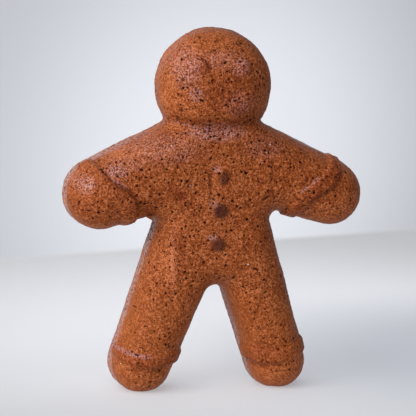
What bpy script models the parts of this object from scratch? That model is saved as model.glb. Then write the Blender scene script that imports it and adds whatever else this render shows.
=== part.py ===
"""Gingerbread man: a thick biscuit baked in a mould, standing on its two round feet.

Metres, +Z up. The crowned front faces -Y and the nearly flat back +Y. The origin
is on the floor, under the middle of the biscuit's box. The outline is one closed
belt round ten circles. The wall leans in towards the front, as it left the mould,
and the front is crowned. Cuffs, ankle bands, buttons, eyes and mouth are low relief.
"""
import math

import bmesh
import bpy
import numpy as np
from mathutils.geometry import delaunay_2d_cdt

# Driving sizes, in millimetres
MM = 0.001
WALL_DEPTH = 5.2
WALL_DRAFT = math.radians(5.0)
BACK_RIM = 1.0
BACK_DOME = 0.8
BACK_DOME_REACH = 5.0
BODY_CROWN = 12.0
BODY_CROWN_REACH = 10.5
BODY_CROWN_POWER = 2.1
BODY_SWELL = 1.0
BODY_SWELL_REACH = 12.0
HEAD_CROWN = 13.6
HEAD_CROWN_REACH = 17.0
HEAD_CROWN_POWER = 2.0
CHIN_FILLET = 0.9
CHIN_FILLET_FADE = 4.0

# Circles of the outline in the front view: middle x, middle z and radius, in millimetres.
# A negative radius turns a hollow corner.
HEAD = (-0.8, 105.8, 20.3)
RIGHT_HAND = (41.2, 68.4, 11.7)
LEFT_HAND = (-40.4, 68.8, 12.5)
RIGHT_ARMPIT = (22.1, 59.6, -2.1)
LEFT_ARMPIT = (-23.4, 58.4, -2.3)
RIGHT_FOOT = (23.5, 9.1, 10.6)
LEFT_FOOT = (-25.0, 9.6, 11.1)
CROTCH = (0.4, 32.4, -3.7)
RIGHT_NECK_FILLET = 1.6
RIGHT_NECK_ANGLE = math.radians(-31.2)
LEFT_NECK_FILLET = 1.6
LEFT_NECK_ANGLE = math.radians(-149.0)
COLLAR = (-0.3, 68.7, 30.0)

# Bands of relief, each along a bow through three points. The first side of a band,
# to the left of its course, drops over sharp_edge and the other over soft_edge.
CUFF_HEIGHT = 1.0
CUFF_SHARP_EDGE = 1.1
CUFF_SOFT_EDGE = 2.4
RIGHT_CUFF = ((26.7, 57.8), (36.0, 72.0), (43.7, 83.8))
RIGHT_CUFF_HALF = 2.8
LEFT_CUFF = ((-48.5, 81.5), (-36.5, 71.5), (-27.9, 60.2))
LEFT_CUFF_HALF = 2.4
ANKLE_HEIGHT = 0.9
ANKLE_SHARP_EDGE = 1.5
ANKLE_SOFT_EDGE = 1.5
RIGHT_ANKLE = ((32.2, 14.7), (19.9, 11.4), (7.2, 13.3))
RIGHT_ANKLE_HALF = 2.5
LEFT_ANKLE = ((-13.3, 13.7), (-25.7, 11.3), (-39.1, 16.6))
LEFT_ANKLE_HALF = 2.5
RELIEF_FADE_FROM = 2.0

# Round relief: middle x and z
BUTTONS = ((-0.4, 75.7), (-0.3, 64.2), (-1.1, 52.5))
BUTTON_RADIUS = 3.3
BUTTON_HEIGHT = 0.7
BUTTON_EDGE = 1.7
EYES = ((-8.9, 113.8), (6.6, 113.2))
EYE_RADIUS = 3.4
EYE_HEIGHT = 0.55
EYE_EDGE = 2.2
MOUTH = ((-12.1, 104.5), (-2.1, 98.2), (9.1, 103.8))
MOUTH_HALF = 1.9
MOUTH_HEIGHT = 0.45
MOUTH_EDGE = 1.5

# Fineness of the faceted solid, in millimetres
EDGE_SPACING = 2.0
LEAST_ARC_STEPS = 4
CROWN_RING_ANGLES = (8.0, 15.5, 23.0, 36.0, 51.0)
WALL_RING_DEPTH = 3.0
FRONT_SPACING = 2.8
RELIEF_SPACING = 1.4
BACK_SPACING = 5.0
POINT_CLEARANCE = 0.45
LATTICE_CLEARANCE = 0.55
BEND_SEEN = 0.12
BOW_STEPS = 24
TINY = 1e-6

# All bands: bow, half width, height and the two edges
CUFF = (CUFF_HEIGHT, CUFF_SHARP_EDGE, CUFF_SOFT_EDGE)
ANKLE = (ANKLE_HEIGHT, ANKLE_SHARP_EDGE, ANKLE_SOFT_EDGE)
BANDS = ((RIGHT_CUFF, RIGHT_CUFF_HALF, *CUFF),
         (LEFT_CUFF, LEFT_CUFF_HALF, *CUFF),
         (RIGHT_ANKLE, RIGHT_ANKLE_HALF, *ANKLE),
         (LEFT_ANKLE, LEFT_ANKLE_HALF, *ANKLE),
         (MOUTH, MOUTH_HALF, MOUTH_HEIGHT, MOUTH_EDGE, MOUTH_EDGE))

# All bumps: middle, radius, height and edge
BUMPS = (*[(middle, BUTTON_RADIUS, BUTTON_HEIGHT, BUTTON_EDGE) for middle in BUTTONS],
         *[(middle, EYE_RADIUS, EYE_HEIGHT, EYE_EDGE) for middle in EYES])

# Look of the crust
CRUST_COLOUR = (0.30, 0.078, 0.024)
CRUST_ROUGHNESS = 0.42


def beside(circle, angle, fillet):
    """A hollow corner that touches a circle from outside at an angle."""
    x, z, radius = circle
    reach = radius + fillet
    return (x + reach * math.cos(angle), z + reach * math.sin(angle), -fillet)


RIGHT_NECK = beside(HEAD, RIGHT_NECK_ANGLE, RIGHT_NECK_FILLET)
LEFT_NECK = beside(HEAD, LEFT_NECK_ANGLE, LEFT_NECK_FILLET)
WHOLE = (CROTCH, RIGHT_FOOT, RIGHT_ARMPIT, RIGHT_HAND, RIGHT_NECK,
         HEAD, LEFT_NECK, LEFT_HAND, LEFT_ARMPIT, LEFT_FOOT)
BODY = (CROTCH, RIGHT_FOOT, RIGHT_ARMPIT, RIGHT_HAND,
        COLLAR, LEFT_HAND, LEFT_ARMPIT, LEFT_FOOT)


def tangents(circles):
    """Unit direction and length of each straight side, from one circle to the next."""
    sides = []
    for (x1, z1, r1), (x2, z2, r2) in zip(circles, circles[1:] + circles[:1]):
        way = np.array((x2 - x1, z2 - z1))
        across = np.array((-way[1], way[0]))
        span = way @ way
        rise = r2 - r1
        length = math.sqrt(max(span - rise * rise, 0.0))
        sides.append(((length * way - rise * across) / span, length))
    return sides


def arc(circle, start, turn, steps, inset):
    """Points of one rounded corner, with the belt on the circle's right-hand side."""
    x, z, radius = circle
    angles = start + turn * np.arange(steps + 1) / steps
    reach = radius - inset
    return np.stack((x + reach * np.sin(angles), z - reach * np.cos(angles)), axis=1)


def outline(circles, inset=0.0, spacing=EDGE_SPACING):
    """The closed outline, counter-clockwise in the front view, moved in by inset.

    Every inset gives the same number of points, so rings can be bridged one to one.
    """
    sides = tangents(circles)
    arcs = []
    for i, circle in enumerate(circles):
        start = math.atan2(sides[i - 1][0][1], sides[i - 1][0][0])
        turn = (math.atan2(sides[i][0][1], sides[i][0][0]) - start) % math.tau
        if circle[2] < 0:
            turn -= math.tau
        steps = max(LEAST_ARC_STEPS, round(abs(turn * circle[2]) / spacing))
        arcs.append(arc(circle, start, turn, steps, inset))
    points = []
    for i, corner in enumerate(arcs):
        following = arcs[(i + 1) % len(arcs)]
        length = sides[i][1]
        if length < TINY:
            points.append(corner[:-1])
            continue
        points.append(corner)
        steps = max(1, round(length / spacing))
        share = np.arange(1, steps)[:, None] / steps
        points.append(corner[-1] + share * (following[0] - corner[-1]))
    return np.concatenate(points)


def distance_to_path(points, path):
    """Distance from each point to a path, and which side of the path it is on."""
    starts = path[:-1]
    runs = path[1:] - starts
    offset = points[:, None, :] - starts[None, :, :]
    share = (offset * runs).sum(2) / np.maximum((runs * runs).sum(1), TINY)
    gap = offset - np.clip(share, 0.0, 1.0)[:, :, None] * runs
    lengths = np.sqrt((gap * gap).sum(2))
    nearest = lengths.argmin(axis=1)
    rows = np.arange(len(points))
    turn = runs[nearest, 0] * offset[rows, nearest, 1] - runs[nearest, 1] * offset[rows, nearest, 0]
    return lengths[rows, nearest], np.sign(turn)


def inside(points, circles):
    """How far each point lies inside the outline of some circles, and minus that outside."""
    ring = outline(circles, 0.0, EDGE_SPACING / 2)
    distance, side = distance_to_path(points, np.vstack((ring, ring[:1])))
    return distance * side


def crown(distance, reach, height, power):
    """Height of a rounded edge at a distance in from its foot."""
    share = np.clip(distance / reach, 0.0, 1.0)
    return height * (1.0 - (1.0 - share) ** power) ** (1.0 / power)


def smooth_step(value):
    """Eases from 0 to 1 as value goes from 0 to 1."""
    value = np.clip(value, 0.0, 1.0)
    return value * value * (3.0 - 2.0 * value)


def front_depth(points):
    """How far the front stands off the back, at points of the front view."""
    lean = WALL_DEPTH * math.tan(WALL_DRAFT)
    edge = inside(points, WHOLE) - lean
    body = np.minimum(edge, inside(points, BODY) - lean)
    from_middle = np.linalg.norm(points - np.array(HEAD[:2]), axis=1)
    head = np.minimum(edge, HEAD[2] - lean - from_middle)
    body_rise = crown(body, BODY_CROWN_REACH, BODY_CROWN, BODY_CROWN_POWER)
    body_rise += BODY_SWELL * (1.0 - np.exp(-np.maximum(body, 0.0) / BODY_SWELL_REACH))
    head_rise = crown(head, HEAD_CROWN_REACH, HEAD_CROWN, HEAD_CROWN_POWER)
    fillet = CHIN_FILLET * smooth_step(edge / CHIN_FILLET_FADE) + TINY
    overlap = np.maximum(fillet - np.abs(body_rise - head_rise), 0.0)
    return WALL_DEPTH + np.maximum(body_rise, head_rise) + overlap * overlap / (4.0 * fillet)


def bow(ends):
    """A smooth path through three points."""
    start, middle, end = (np.array(point) for point in ends)
    pull = 2.0 * middle - 0.5 * (start + end)
    t = np.linspace(0.0, 1.0, BOW_STEPS + 1)[:, None]
    return (1 - t) ** 2 * start + 2 * t * (1 - t) * pull + t ** 2 * end


def band(points, ends, half_width, height, sharp_edge, soft_edge):
    """Relief of a raised band along a bow."""
    distance, side = distance_to_path(points, bow(ends))
    edge = np.where(side > 0.0, sharp_edge, soft_edge)
    return height * smooth_step((half_width + 0.5 * edge - distance) / edge)


def bump(points, middle, radius, height, edge):
    """Relief of a flat round bump."""
    distance = np.linalg.norm(points - np.array(middle), axis=1)
    return height * smooth_step((radius - distance) / edge)


def relief(points):
    """All low relief of the front, at points of the front view."""
    parts = [band(points, *sizes) for sizes in BANDS]
    parts += [bump(points, *sizes) for sizes in BUMPS]
    return np.max(parts, axis=0)


def band_rows(ends, half_width, height, sharp_edge, soft_edge):
    """Points along the feet and shoulders of a band, and along its middle."""
    path = bow(ends)
    ways = np.gradient(path, axis=0)
    ways /= np.linalg.norm(ways, axis=1)[:, None]
    left = np.stack((-ways[:, 1], ways[:, 0]), axis=1)
    offsets = (0.0, half_width - 0.5 * sharp_edge, half_width + 0.5 * sharp_edge,
               0.5 * soft_edge - half_width, -0.5 * soft_edge - half_width)
    return np.concatenate([path + offset * left for offset in offsets])


def bump_rings(middle, radius, height, edge):
    """Points round a bump, its foot and its shoulder, each ring half a step on, and its middle."""
    steps = math.ceil(math.tau * radius / RELIEF_SPACING)
    points = [np.array((middle,))]
    for size, start in ((radius + 0.5 * edge, 0.5), (radius, 0.0), (radius - edge, 0.5)):
        angles = math.tau * (np.arange(steps) + start) / steps
        points.append(middle + size * np.stack((np.cos(angles), np.sin(angles)), axis=1))
    return np.concatenate(points)


def wall_rings():
    """Rings of the back rim, the wall and the start of the crown: points and their depth."""
    lean = math.tan(WALL_DRAFT)
    rim_bend = BACK_RIM * (1.0 - math.sqrt(0.5))
    profile = [(BACK_RIM, 0.0), (rim_bend, rim_bend), (BACK_RIM * lean, BACK_RIM),
               (WALL_RING_DEPTH * lean, WALL_RING_DEPTH), (WALL_DEPTH * lean, WALL_DEPTH)]
    rings = []
    for inset, depth in profile:
        points = outline(WHOLE, inset)
        rings.append((points, np.full(len(points), depth)))
    for angle in CROWN_RING_ANGLES:
        share = 1.0 - math.cos(math.radians(angle)) ** (2.0 / BODY_CROWN_POWER)
        points = outline(WHOLE, WALL_DEPTH * lean + BODY_CROWN_REACH * share)
        rings.append((points, front_depth(points)))
    return rings


def lattice(spacing):
    """Points of a triangular lattice that covers the outline's box."""
    ring = outline(WHOLE)
    low = ring.min(axis=0)
    high = ring.max(axis=0)
    row_height = spacing * math.sqrt(0.75)
    points = []
    for row in range(math.ceil((high[1] - low[1]) / row_height) + 1):
        shift = 0.5 * spacing * (row % 2)
        xs = np.arange(low[0] - spacing + shift, high[0] + spacing, spacing)
        points.append(np.stack((xs, np.full(len(xs), low[1] + row * row_height)), axis=1))
    return np.concatenate(points)


def clear_of(points, others, clearance):
    """The points that keep a clearance to the others."""
    gap = np.linalg.norm(points[:, None, :] - others[None, :, :], axis=2).min(axis=1)
    return points[gap > clearance]


def kept_inside(points, ring, clearance):
    """The points inside a closed ring, clear of it."""
    distance, side = distance_to_path(points, np.vstack((ring, ring[:1])))
    return points[distance * side > clearance]


def bend(points):
    """How much the front bends within RELIEF_SPACING of each point, its relief included."""
    steps = RELIEF_SPACING * np.array(((1, 0), (-1, 0), (0, 1), (0, -1)))
    here = front_depth(points) + relief(points)
    around = [front_depth(points + step) + relief(points + step) for step in steps]
    return np.max(np.abs(np.array(around) - here), axis=0)


def front_fill(ring):
    """Points inside the last ring of the front: rows along the relief, and round it a
    lattice that is closer together wherever the front bends."""
    fill = np.concatenate([band_rows(*sizes) for sizes in BANDS] + [bump_rings(*sizes) for sizes in BUMPS])
    fill = kept_inside(fill, ring, POINT_CLEARANCE * RELIEF_SPACING)
    for spacing, least_bend in ((RELIEF_SPACING, BEND_SEEN), (FRONT_SPACING, 0.0)):
        more = kept_inside(lattice(spacing), ring, POINT_CLEARANCE * spacing)
        more = more[(bend(more) >= least_bend) & (relief(more) == 0.0)]
        more = clear_of(more, fill, LATTICE_CLEARANCE * spacing)
        fill = np.concatenate((fill, more))
    return fill


def triangles_inside(ring, fill):
    """Triangles over a ring and the points inside it, as indices into ring + fill."""
    points = np.concatenate((ring, fill))
    count = len(ring)
    edges = [(i, (i + 1) % count) for i in range(count)]
    result = delaunay_2d_cdt([tuple(point) for point in points], edges, [], 1, TINY)
    origin = [sources[0] for sources in result[3]]
    return [[origin[corner] for corner in face] for face in result[2]]


def add_vertices(mesh, points, depths):
    """Vertices at points of the front view, each at its depth in front of the back."""
    return [mesh.verts.new((x, -depth, z)) for (x, z), depth in zip(points, depths)]


def build_shell():
    """The closed biscuit without its relief."""
    mesh = bmesh.new()
    rings = wall_rings()
    loops = [add_vertices(mesh, points, depths) for points, depths in rings]
    for rear, fore in zip(loops, loops[1:]):
        for i in range(len(rear)):
            after = (i + 1) % len(rear)
            mesh.faces.new((rear[i], rear[after], fore[after], fore[i]))
    front_ring = rings[-1][0]
    fill = front_fill(front_ring)
    corners = loops[-1] + add_vertices(mesh, fill, front_depth(fill))
    for face in triangles_inside(front_ring, fill):
        mesh.faces.new([corners[i] for i in face])
    back_ring = rings[0][0]
    fill = kept_inside(lattice(BACK_SPACING), back_ring, POINT_CLEARANCE * BACK_SPACING)
    from_rim = inside(fill, WHOLE) - BACK_RIM
    dome = BACK_DOME * (1.0 - np.exp(-from_rim / BACK_DOME_REACH))
    corners = loops[0] + add_vertices(mesh, fill, -dome)
    for face in triangles_inside(back_ring, fill):
        mesh.faces.new([corners[i] for i in reversed(face)])
    bmesh.ops.triangulate(mesh, faces=mesh.faces)
    bmesh.ops.recalc_face_normals(mesh, faces=mesh.faces)
    mesh.normal_update()
    return mesh


def raise_relief(mesh):
    """Pushes the surface out by the relief, less and less towards the back."""
    verts = list(mesh.verts)
    places = np.array([vert.co for vert in verts])
    heights = relief(places[:, (0, 2)])
    fade = np.clip((-places[:, 1] - RELIEF_FADE_FROM) / (WALL_DEPTH - RELIEF_FADE_FROM), 0.0, 1.0)
    pushes = heights * fade
    for vert, push in zip(verts, pushes):
        vert.co += vert.normal * float(push)


def stand_up(mesh):
    """Flattens the soles on the floor, and centres the biscuit over the origin, in metres."""
    for vert in mesh.verts:
        vert.co.z = max(vert.co.z, 0.0)
    places = np.array([vert.co for vert in mesh.verts])
    middle = (places.min(axis=0) + places.max(axis=0)) / 2.0
    for vert in mesh.verts:
        vert.co.x = (vert.co.x - middle[0]) * MM
        vert.co.y = (vert.co.y - middle[1]) * MM
        vert.co.z *= MM


def crust_material():
    """Browned gingerbread crust."""
    material = bpy.data.materials.new("browned_crust")
    material.use_nodes = True
    shader = material.node_tree.nodes["Principled BSDF"]
    shader.inputs["Base Color"].default_value = (*CRUST_COLOUR, 1.0)
    shader.inputs["Roughness"].default_value = CRUST_ROUGHNESS
    shader.inputs["Metallic"].default_value = 0.0
    return material


def make_cookie():
    """The whole biscuit as one object."""
    shell = build_shell()
    raise_relief(shell)
    stand_up(shell)
    data = bpy.data.meshes.new("cookie")
    shell.to_mesh(data)
    shell.free()
    data.shade_smooth()
    data.materials.append(crust_material())
    cookie = bpy.data.objects.new("cookie", data)
    bpy.context.scene.collection.objects.link(cookie)
    return cookie


def main():
    for item in list(bpy.data.objects):
        bpy.data.objects.remove(item, do_unlink=True)
    make_cookie()


main()
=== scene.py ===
"""Looks of a thick gingerbread man that was baked in a mould: crust, crumb, pits and pale studio.

Run as a script it loads the fixed frame, builds each piece with its operator and lights the stage.
Mesh code works in millimetres: x to the right and z up in the front view, and the depth that a
point stands off the back. The crust is moved into the frame's own box, in metres, when it is done.
"""
import math

import bpy
import numpy as np
from bpy.props import FloatProperty, FloatVectorProperty, IntProperty, PointerProperty
from bpy.types import Operator, Panel, PropertyGroup
from mathutils import Matrix, Vector
from mathutils.bvhtree import BVHTree
from mathutils.geometry import delaunay_2d_cdt


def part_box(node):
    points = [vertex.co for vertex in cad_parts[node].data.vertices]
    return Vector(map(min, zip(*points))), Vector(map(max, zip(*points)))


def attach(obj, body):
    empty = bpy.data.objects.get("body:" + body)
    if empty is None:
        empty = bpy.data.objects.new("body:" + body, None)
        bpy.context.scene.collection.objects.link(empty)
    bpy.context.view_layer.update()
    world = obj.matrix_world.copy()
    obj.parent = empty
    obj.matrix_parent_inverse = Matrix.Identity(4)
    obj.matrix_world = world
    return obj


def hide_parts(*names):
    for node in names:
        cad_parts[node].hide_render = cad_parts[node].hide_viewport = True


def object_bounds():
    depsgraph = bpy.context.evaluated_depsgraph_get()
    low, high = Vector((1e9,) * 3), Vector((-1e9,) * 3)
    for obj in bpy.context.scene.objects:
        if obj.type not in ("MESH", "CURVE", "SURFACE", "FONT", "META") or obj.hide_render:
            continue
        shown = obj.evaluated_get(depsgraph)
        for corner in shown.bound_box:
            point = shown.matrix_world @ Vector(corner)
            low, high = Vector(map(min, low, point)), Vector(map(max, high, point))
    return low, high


bl_info = {
    "name": "Moulded Gingerbread Man",
    "version": (1, 0, 0),
    "blender": (4, 5, 0),
    "location": "View3D > Sidebar > Gingerbread",
    "description": "Bakes a thick, porous gingerbread man and lights it on a pale stage",
    "category": "Object",
}

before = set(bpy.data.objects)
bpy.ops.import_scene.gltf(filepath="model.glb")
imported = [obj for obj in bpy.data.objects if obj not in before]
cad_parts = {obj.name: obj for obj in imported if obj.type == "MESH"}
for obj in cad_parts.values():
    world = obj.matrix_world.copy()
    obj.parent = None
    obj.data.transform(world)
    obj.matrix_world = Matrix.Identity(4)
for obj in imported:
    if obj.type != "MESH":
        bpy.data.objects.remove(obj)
FRAME_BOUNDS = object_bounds()
COOKIE_NODE = "cookie"
BODY = "root"

MM = 0.001
TINY = 1e-6
# Steps of a smooth path between two points, and how far from it the distances are exact
PATH_STEPS = 8
PATH_REACH = 7.0
# How fast a thin line runs out at its ends
LINE_END = 6.0

# Circles of the outline: middle x, middle z and radius. A negative radius turns a hollow corner.
HEAD = (-0.8, 105.8, 20.3)
RIGHT_HAND = (41.2, 68.4, 11.7)
LEFT_HAND = (-40.4, 68.8, 12.5)
RIGHT_ARMPIT = (22.1, 59.6, -2.1)
LEFT_ARMPIT = (-23.4, 58.4, -2.3)
RIGHT_FOOT = (23.5, 9.1, 10.6)
LEFT_FOOT = (-25.0, 9.6, 11.1)
CROTCH = (0.4, 32.4, -3.7)
RIGHT_NECK_FILLET = 1.6
RIGHT_NECK_ANGLE = math.radians(-31.2)
LEFT_NECK_FILLET = 1.6
LEFT_NECK_ANGLE = math.radians(-149.0)
COLLAR = (-0.3, 68.7, 30.0)
# The fewest steps round a corner of the outline and round a pit
CORNER_STEPS = 4
PIT_STEPS = 6

# The turned profile of the wall, the back and the two crowns
WALL_DRAFT = math.radians(5.0)
BACK_RIM = 1.0
BACK_DOME = 0.8
BACK_DOME_REACH = 5.0
BODY_CROWN_REACH = 10.5
BODY_CROWN_POWER = 2.1
BODY_SWELL = 1.0
BODY_SWELL_REACH = 12.0
SOFT_RIDGE = 1.6
HEAD_CROWN_REACH = 17.0
HEAD_CROWN_POWER = 2.0
CHIN_FILLET = 0.9
CHIN_FILLET_FADE = 4.0
STEEP_CROWN = math.radians(46.0)

# Raised bands: smooth path through points, half width, sharp edge and soft edge.
# The sharp edge is on the left of the path's course.
RIGHT_CUFF = (((25.0, 58.0), (27.0, 63.5), (30.0, 68.2), (33.8, 71.3), (37.6, 74.0), (40.8, 77.8),
               (43.2, 83.0)), 2.3, 0.9, 1.5)
LEFT_CUFF = (((-48.4, 82.0), (-45.0, 78.0), (-42.0, 74.6), (-38.6, 71.9), (-34.9, 69.8), (-32.4, 66.8),
              (-31.2, 60.0)), 2.4, 1.0, 3.2)
RIGHT_ANKLE = (((33.2, 15.8), (29.8, 14.3), (23.8, 12.9), (18.9, 12.2), (14.6, 12.0), (9.5, 13.2)),
               2.2, 1.5, 1.5)
LEFT_ANKLE = (((-12.0, 12.2), (-15.6, 12.5), (-21.1, 12.0), (-26.1, 12.2), (-31.2, 13.2), (-38.0, 16.2)),
              2.1, 1.5, 1.5)
MOUTH = (((-12.1, 104.5), (-7.0, 99.9), (-2.1, 98.2), (4.0, 99.6), (9.1, 103.8)), 1.8, 1.5, 1.5)
MOUTH_HEIGHT = 0.5
JACKET_FOLD = (((-15.6, 55.8), (-16.7, 46.7), (-15.5, 37.0)), 0.7, 0.9, 1.6)
JACKET_FOLD_HEIGHT = 0.25

# Creases: smooth path through points, half width, edge, depth and darkness of their painted shade
CREASES = (
    (((-4.6, 78.6), (-4.4, 71.6), (-4.3, 66.2)), 0.2, 0.5, 0.30, 0.55),
    (((17.8, 81.5), (17.2, 73.0), (18.8, 67.0)), 0.2, 0.6, 0.25, 0.40),
    (((-42.2, 78.6), (-40.2, 76.2), (-38.6, 74.4), (-36.3, 73.2), (-33.4, 71.8), (-31.2, 69.9),
      (-29.8, 67.1), (-28.9, 63.5)), 0.3, 1.1, 0.32, 0.48),
    (((29.6, 64.6), (33.4, 68.1), (36.6, 69.8), (39.4, 71.8), (41.6, 74.4), (43.8, 77.8)),
     0.4, 1.6, 0.15, 0.48),
    # Painted shadow under the chin, with no depth
    (((-18.8, 96.6), (-14.2, 95.2), (-8.9, 94.0), (-3.6, 93.6), (1.7, 93.8), (6.9, 94.8), (12.2, 96.4)),
     0.7, 2.6, 0.0, 0.60),
    (((-32.0, 10.0), (-28.5, 9.4), (-23.0, 8.8), (-17.5, 9.6)), 0.4, 1.8, 0.15, 0.55),
    (((12.0, 9.7), (18.0, 9.4), (24.5, 10.0)), 0.3, 1.2, 0.2, 0.55),
    (((14.6, 86.6), (17.2, 85.0), (19.8, 83.6)), 0.15, 0.35, 0.35, 0.95),
    (((14.2, 67.4), (15.7, 68.5), (17.6, 69.6)), 0.12, 0.40, 0.25, 0.80),
    (((-6.8, 116.4), (-5.8, 113.8), (-6.8, 111.2)), 0.4, 1.0, 0.15, 0.55),
)

# Round relief: middle x and z
BUTTONS = ((-0.9, 76.0), (-0.9, 64.4), (-1.5, 52.6))
BUTTON_RADIUS = 3.3
BUTTON_EDGE = 1.7
EYES = ((-8.9, 113.8), (6.6, 113.2))
EYE_RADIUS = 3.4
EYE_EDGE = 2.2
EYE_HEIGHT = 0.75
RELIEF_FADE_FROM = 2.0

# Burnt spots of the buttons: middle x and z, radius across and upright, and strength
BUTTON_SPOTS = ((0.1, 75.6, 1.5, 2.4, 0.85), (-0.9, 64.2, 2.7, 2.6, 1.0), (-1.4, 52.6, 2.5, 2.3, 0.85))
BUTTON_SPOT_EDGE = 0.45
# How soft the edge of every other spot is
SPOT_EDGE = 0.6

# Glossy places with a painted glint: middle x and z, radius across and upright, and strength
GLOSS_AND_PAINTED_GLINT_SPOTS = (
    (-13.4, 113.6, 4.4, 6.4, 0.55), (-1.5, 116.0, 6.5, 3.0, 0.36), (5.0, 114.0, 2.6, 3.2, 0.70),
    (-10.2, 104.6, 2.2, 2.4, 0.70), (4.6, 101.2, 4.6, 3.6, 0.35), (-2.6, 91.2, 9.0, 2.6, 0.90),
    (-21.0, 85.6, 12.0, 4.6, 0.40), (14.6, 86.0, 6.5, 3.6, 0.30), (-47.6, 73.6, 2.8, 2.6, 0.80),
    (-36.8, 78.0, 3.2, 2.6, 0.80), (-33.5, 80.5, 6.0, 2.6, 0.30), (-16.8, 46.5, 1.2, 9.5, 0.10),
    (-2.6, 78.8, 1.5, 1.0, 0.90), (-3.0, 66.8, 1.8, 1.0, 0.80), (-3.4, 55.0, 1.8, 1.0, 0.90),
)

# Glossy ridges with a painted glint: smooth path through points, half width, edge and strength
GLOSS_AND_PAINTED_GLINT_LINES = (
    (((-39.2, 75.6), (-36.4, 73.9), (-33.2, 72.3)), 0.2, 0.7, 0.95),
    (((27.4, 70.1), (28.6, 71.3), (31.9, 73.6), (35.2, 76.2)), 0.15, 0.6, 0.95),
    (((43.3, 79.6), (43.9, 77.8)), 0.15, 0.6, 0.80),
    (((-35.6, 16.4), (-31.5, 14.8), (-28.0, 14.0), (-23.0, 13.7)), 0.30, 0.8, 0.78),
    (((-17.5, 94.6), (-12.5, 93.6), (-8.0, 93.0)), 0.15, 0.6, 0.60),
)

# Stained, redder places, and painted shade beside the jacket fold: middle x and z, radius across and
# upright, and strength
STAIN_AND_PAINTED_SHADE_SPOTS = (
    (-15.0, 69.8, 2.3, 1.9, 1.00), (-17.9, 71.8, 1.8, 1.3, 0.75), (1.0, 105.0, 9.0, 7.5, 0.45),
    (-8.9, 113.8, 2.8, 2.8, 0.55), (6.6, 113.2, 2.8, 2.8, 0.45), (-42.0, 77.0, 3.2, 3.0, 0.45),
    (18.0, 14.6, 5.0, 2.6, 0.55), (-46.5, 66.5, 4.0, 3.4, 0.35), (3.6, 99.0, 4.6, 2.4, 0.45),
    # Painted shade on the jacket fold's side away from the light
    (-13.9, 49.2, 1.5, 5.5, 0.55),
)
# Painted light, paler and more orange where light falls: middle x and z, radius across and upright, and
# strength
PAINTED_LIGHT_SPOTS = (
    (-33.0, 84.2, 13.0, 2.4, 0.75), (-17.5, 93.6, 5.0, 1.8, 0.70), (-18.6, 103.0, 2.6, 9.0, 0.70),
    (-1.0, 122.6, 12.0, 2.2, 0.08), (-26.0, 9.0, 9.0, 9.0, 0.60), (23.0, 8.5, 9.0, 8.5, 0.50),
    (-23.0, 27.0, 6.0, 12.0, 0.35), (20.0, 27.0, 6.0, 12.0, 0.25), (-46.0, 72.0, 8.0, 9.0, 0.25),
    (-17.7, 44.8, 1.4, 8.0, 0.85), (-14.0, 97.0, 4.0, 2.4, 0.35),
)
# Stained bands: raised band and strength, then how far in and how soft the edge of their red tint is
STAINED_BANDS = ((RIGHT_CUFF, 0.55), (LEFT_ANKLE, 0.60), (RIGHT_ANKLE, 0.40), (LEFT_CUFF, 0.30))
STAIN_INSET = 0.7
STAIN_EDGE = 1.3
# Torn places of the side wall: middle x and z, radius across and upright, and strength
TORN_SPOTS = ((-21.4, 54.4, 2.4, 4.6, 0.80),)

# Pits that stand out: middle x and z, half length, half width and tilt in degrees
NOTABLE_PITS = (
    (7.9, 104.5, 0.75, 0.60, 0), (-2.3, 96.0, 0.70, 0.50, 0), (-5.5, 97.3, 0.50, 0.38, 0),
    (-13.0, 106.5, 0.45, 0.40, 0), (-13.1, 111.2, 0.40, 0.40, 0), (0.3, 112.3, 0.45, 0.40, 0),
    (-15.3, 95.5, 0.75, 0.40, 60), (-9.2, 90.5, 0.55, 0.45, 0), (9.3, 89.8, 0.60, 0.40, 0),
    (-14.3, 83.0, 0.60, 0.38, 80), (-8.4, 86.8, 0.55, 0.40, 40),
    (21.7, 84.3, 0.60, 0.35, 0), (-25.0, 76.0, 0.45, 0.40, 0), (-1.6, 77.3, 0.65, 0.60, 0),
    (-12.3, 73.0, 0.60, 0.28, 10), (4.0, 78.0, 0.42, 0.40, 0), (6.4, 80.5, 0.42, 0.35, 0),
    (-19.6, 65.8, 0.65, 0.50, 0), (-22.7, 65.2, 0.80, 0.32, 10), (15.7, 68.5, 1.10, 0.32, 35),
    (10.3, 67.0, 0.50, 0.35, 0), (-17.2, 60.5, 0.50, 0.42, 0), (-14.1, 58.1, 0.42, 0.38, 0),
    (-13.6, 55.4, 0.65, 0.32, -40), (-4.7, 54.1, 0.50, 0.34, 0), (-1.0, 55.2, 0.55, 0.35, -35),
    (-6.3, 52.9, 0.60, 0.35, 0), (8.7, 50.5, 0.48, 0.40, 0), (12.0, 43.8, 1.05, 0.42, -5),
    (4.9, 40.8, 0.95, 0.32, 0), (-1.5, 42.0, 0.75, 0.28, 25), (-5.0, 42.0, 0.62, 0.28, -15),
    (-8.9, 42.8, 0.62, 0.28, -10), (-28.7, 30.1, 0.60, 0.42, 0), (-23.2, 33.4, 0.62, 0.40, 80),
    (-23.0, 22.6, 0.62, 0.36, -50), (20.5, 19.1, 0.95, 0.30, 10), (-41.7, 78.6, 0.85, 0.34, 30),
    (27.1, 68.0, 0.95, 0.28, 25), (-34.1, 80.8, 0.50, 0.35, 0), (8.6, 37.0, 0.50, 0.36, 40),
)
# Depth of a pit by its half width, its flat middle, and the room that points and pits leave round it
PIT_DEPTH_SHARE = 1.3
PIT_FLAT = 0.4
PIT_MARGIN = 1.25
PIT_GAP = 1.15
PIT_POINT_SPACING = 0.42
PIT_INNER_RING = 0.55
PIT_EDGE_CLEARANCE = 4.0
# Pits at random: how rare large and long ones are, spread of tilt, and chance by the distance in
PIT_RARITY = 2.2
PIT_STRETCH = 0.75
PIT_TILT_SPREAD = 35.0
PIT_EDGE_CHANCE = 0.35
PIT_CHANCE_REACH = 12.0

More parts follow.
